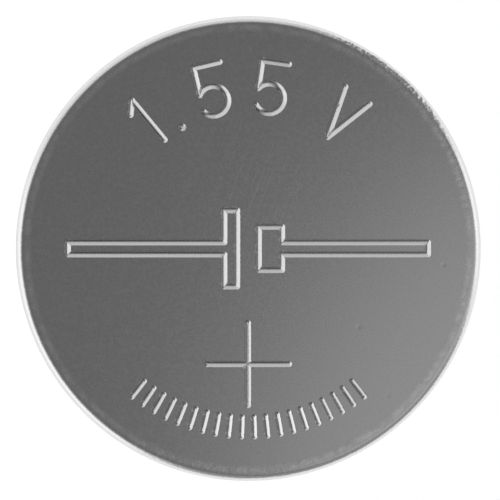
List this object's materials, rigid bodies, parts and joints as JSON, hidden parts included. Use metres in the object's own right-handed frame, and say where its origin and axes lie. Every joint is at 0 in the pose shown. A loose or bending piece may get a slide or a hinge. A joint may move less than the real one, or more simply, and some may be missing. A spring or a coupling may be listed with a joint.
{
  "type": "silver oxide button cell",
  "caption": "Flat round primary cell: a nickel-plated steel can closed by a crimped gasket and a stepped negative cap, with plain pressed marks on the positive face",
  "frame": {"origin": "centre of the negative contact's flat, on the surface that the cell rests on", "axes": "+Z along the cell's axis from the negative contact to the positive face; +Y towards the arc of figures and -Y towards the plus mark"},
  "size_m": [0.0116, 0.0116, 0.0036],
  "materials": {
    "nickel_plated_steel": "satin",
    "nylon_gasket": "satin",
    "clad_cap_sheet": "satin",
    "silver_oxide_pellet": "matte",
    "barrier_film": "satin",
    "separator_felt": "matte",
    "zinc_gel": "satin"
  },
  "bodies": {
    "root": {"positive_can": "nickel_plated_steel", "sealing_gasket": "nylon_gasket", "negative_cap": "clad_cap_sheet", "silver_oxide_cathode": "silver_oxide_pellet", "barrier_membrane": "barrier_film", "absorbent_separator": "separator_felt", "zinc_anode": "zinc_gel"}
  },
  "joints": []
}
